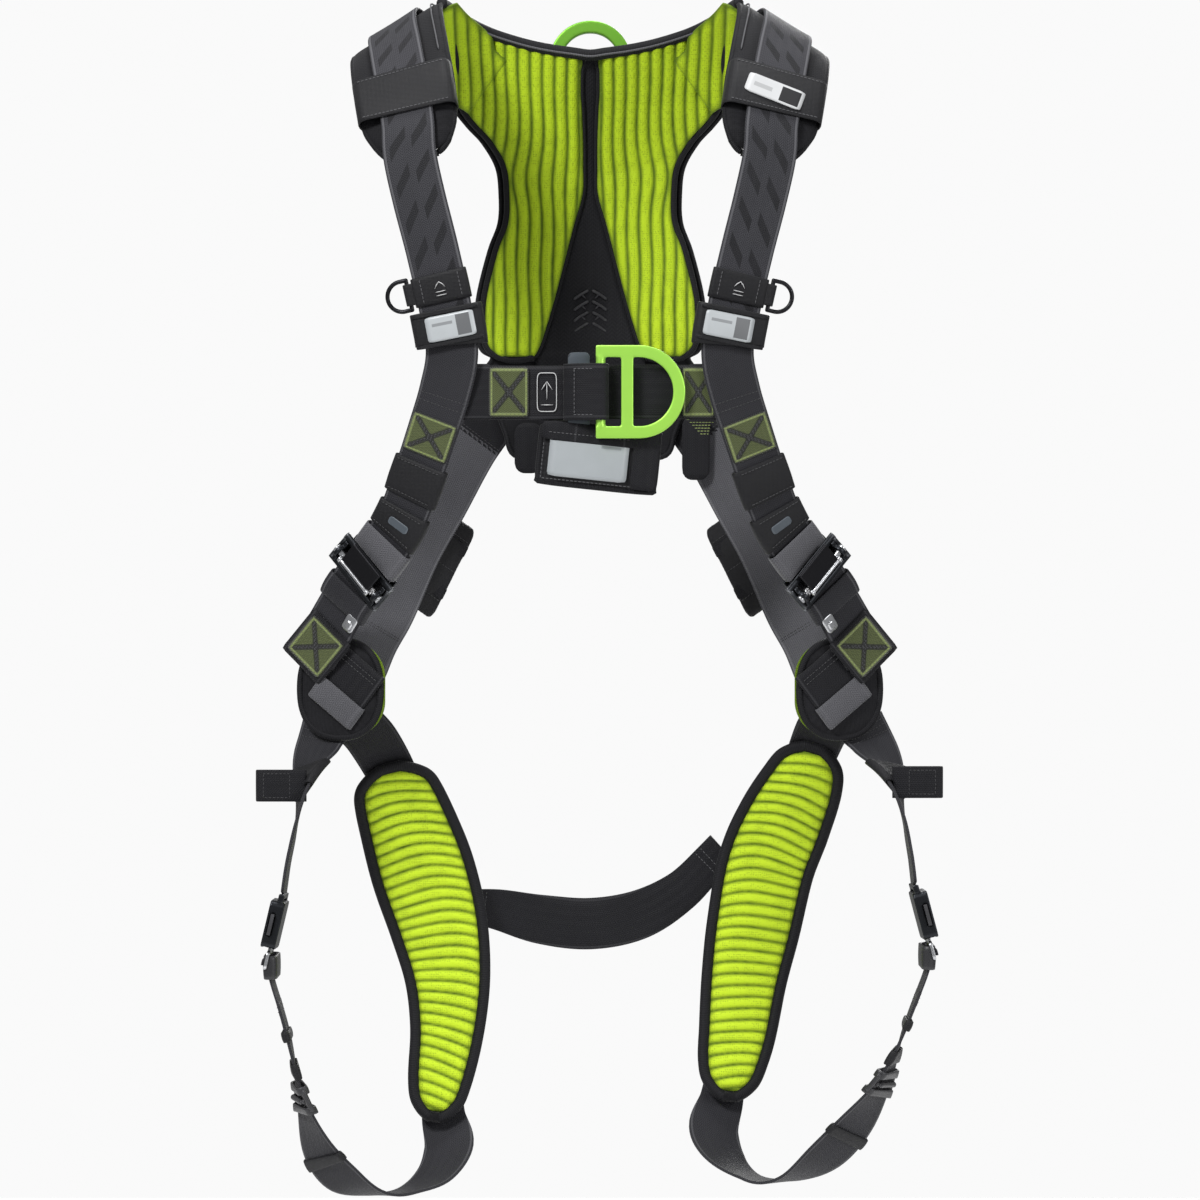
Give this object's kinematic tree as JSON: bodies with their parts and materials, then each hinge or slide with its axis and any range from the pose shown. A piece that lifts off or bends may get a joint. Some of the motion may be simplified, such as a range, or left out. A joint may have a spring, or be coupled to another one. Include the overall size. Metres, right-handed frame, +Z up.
{
  "type": "full-body climbing harness",
  "caption": "Full-body climbing harness with padded shoulders, ribbed back panel, dorsal and chest D-rings, torso adjusters and padded leg loops.",
  "frame": {"origin": "on the centre plane, on the shoulder line where the pads rest on the wearer", "axes": "the wearer faces -Y, +Z is up, +X is to the left hand of the wearer"},
  "size_m": [0.58, 0.2384, 1.0226],
  "materials": {
    "back_mesh": "ribbed spacer mesh",
    "leg_mesh": "ribbed spacer mesh",
    "pad_cover": "matt woven cover",
    "binding": "rolled grosgrain binding",
    "pouch_fabric": "coated woven nylon",
    "black_webbing": "woven webbing",
    "load_webbing": "woven webbing with a dark dash pattern",
    "leg_webbing": "woven webbing",
    "grey_webbing": "woven webbing",
    "dorsal_green": "anodised, satin",
    "chest_green": "anodised, satin",
    "black_plastic": "fine texture",
    "tab_plastic": "fine texture",
    "black_steel": "black coated",
    "buckle_coat": "dark coated steel",
    "bright_steel": "zinc plated",
    "spring_steel": "drawn wire",
    "label_silver": "printed film"
  },
  "bodies": {
    "harness": {"back_pad_left": "back_mesh", "back_pad_right": "back_mesh", "back_shell": "pad_cover", "spine_web": "pad_cover", "collar_binding": "binding", "back_tabs": "pouch_fabric", "shoulder_pad_left": "pad_cover", "shoulder_pad_right": "pad_cover", "shoulder_keepers": "pouch_fabric", "dorsal_plate": "black_plastic", "dorsal_loop": "leg_webbing", "front_strap_left": "load_webbing", "front_strap_right": "load_webbing", "lanyard_tabs": "black_webbing", "label_keepers": "pouch_fabric", "label_cards": "label_silver", "chest_strap": "black_webbing", "chest_ring_loop": "black_webbing", "chest_ring_plate": "black_plastic", "label_pouch": "pouch_fabric", "strap_keepers": "black_webbing", "cam_frame_left": "buckle_coat", "cam_frame_right": "buckle_coat", "cam_pin_left": "bright_steel", "cam_pin_right": "bright_steel", "hip_pad_left": "pad_cover", "hip_pad_right": "pad_cover", "hip_patches": "load_webbing", "back_strap_left": "grey_webbing", "back_strap_right": "grey_webbing", "step_pouch_left": "pouch_fabric", "step_pouch_right": "pouch_fabric", "leg_pad_left": "leg_mesh", "leg_pad_right": "leg_mesh", "leg_pad_straps": "black_webbing", "leg_strap_left": "leg_webbing", "leg_strap_right": "leg_webbing", "leg_buckle_left": "buckle_coat", "leg_buckle_right": "buckle_coat", "leg_spring_left": "spring_steel", "leg_spring_right": "spring_steel", "leg_adjusters": "black_plastic", "seat_strap": "leg_webbing"},
    "dorsal_ring": {"dorsal_ring": "dorsal_green"},
    "chest_ring": {"chest_ring": "chest_green"},
    "lanyard_ring_left": {"lanyard_ring_left": "black_steel"},
    "lanyard_ring_right": {"lanyard_ring_right": "black_steel"},
    "cam_lever_left": {"cam_lever_left": "black_plastic", "cam_spring_left": "spring_steel"},
    "cam_lever_right": {"cam_lever_right": "black_plastic", "cam_spring_right": "spring_steel"},
    "leg_tongue_left": {"leg_tongue_left": "bright_steel"},
    "leg_tongue_right": {"leg_tongue_right": "bright_steel"},
    "leg_tab_front_left": {"leg_tab_front_left": "tab_plastic"},
    "leg_tab_rear_left": {"leg_tab_rear_left": "tab_plastic"},
    "leg_tab_front_right": {"leg_tab_front_right": "tab_plastic"},
    "leg_tab_rear_right": {"leg_tab_rear_right": "tab_plastic"}
  },
  "joints": [
    {"name": "dorsal_ring_fold", "type": "hinge", "parent": "harness", "child": "dorsal_ring", "pos_m": [0, 0.1155, -0.0485], "axis": [-1, 0, 0], "range_deg": [-6, 130]},
    {"name": "chest_ring_swing", "type": "hinge", "parent": "harness", "child": "chest_ring", "pos_m": [0.009, -0.107, -0.3125], "axis": [0, 0, -1], "range_deg": [-2, 120]},
    {"name": "lanyard_ring_swing_left", "type": "hinge", "parent": "harness", "child": "lanyard_ring_left", "pos_m": [-0.14975, -0.09578, -0.23196], "axis": [0.2181, 0.0253, -0.9756], "range_deg": [-80, 80]},
    {"name": "cam_lever_lift_left", "type": "hinge", "parent": "harness", "child": "cam_lever_left", "pos_m": [-0.19417, -0.05363, -0.46243], "axis": [0.6133, -0.2339, -0.7544], "range_deg": [0, 70], "stiffness_Nm_per_rad": 0.05, "springref_deg": -17.19},
    {"name": "tongue_pull_left", "type": "slide", "parent": "harness", "child": "leg_tongue_left", "axis": [-0.2279, -0.0285, -0.9733], "range_m": [0, 0.016]},
    {"name": "tab_press_front_left", "type": "slide", "parent": "harness", "child": "leg_tab_front_left", "axis": [-0.0065, 0.9996, -0.0277], "range_m": [0, 0.0035], "stiffness_N_per_m": 300, "springref_m": -0.002},
    {"name": "tab_press_rear_left", "type": "slide", "parent": "harness", "child": "leg_tab_rear_left", "axis": [0.0065, -0.9996, 0.0277], "range_m": [0, 0.0035], "stiffness_N_per_m": 300, "springref_m": -0.002},
    {"name": "lanyard_ring_swing_right", "type": "hinge", "parent": "harness", "child": "lanyard_ring_right", "pos_m": [0.14975, -0.09578, -0.23196], "axis": [0.2181, -0.0253, 0.9756], "range_deg": [-80, 80]},
    {"name": "cam_lever_lift_right", "type": "hinge", "parent": "harness", "child": "cam_lever_right", "pos_m": [0.19417, -0.05363, -0.46243], "axis": [0.6133, 0.2339, 0.7544], "range_deg": [0, 70], "stiffness_Nm_per_rad": 0.05, "springref_deg": -17.19},
    {"name": "tongue_pull_right", "type": "slide", "parent": "harness", "child": "leg_tongue_right", "axis": [0.2546, -0.0283, -0.9666], "range_m": [0, 0.016]},
    {"name": "tab_press_front_right", "type": "slide", "parent": "harness", "child": "leg_tab_front_right", "axis": [0.0072, 0.9996, -0.0274], "range_m": [0, 0.0035], "stiffness_N_per_m": 300, "springref_m": -0.002},
    {"name": "tab_press_rear_right", "type": "slide", "parent": "harness", "child": "leg_tab_rear_right", "axis": [-0.0072, -0.9996, 0.0274], "range_m": [0, 0.0035], "stiffness_N_per_m": 300, "springref_m": -0.002}
  ]
}
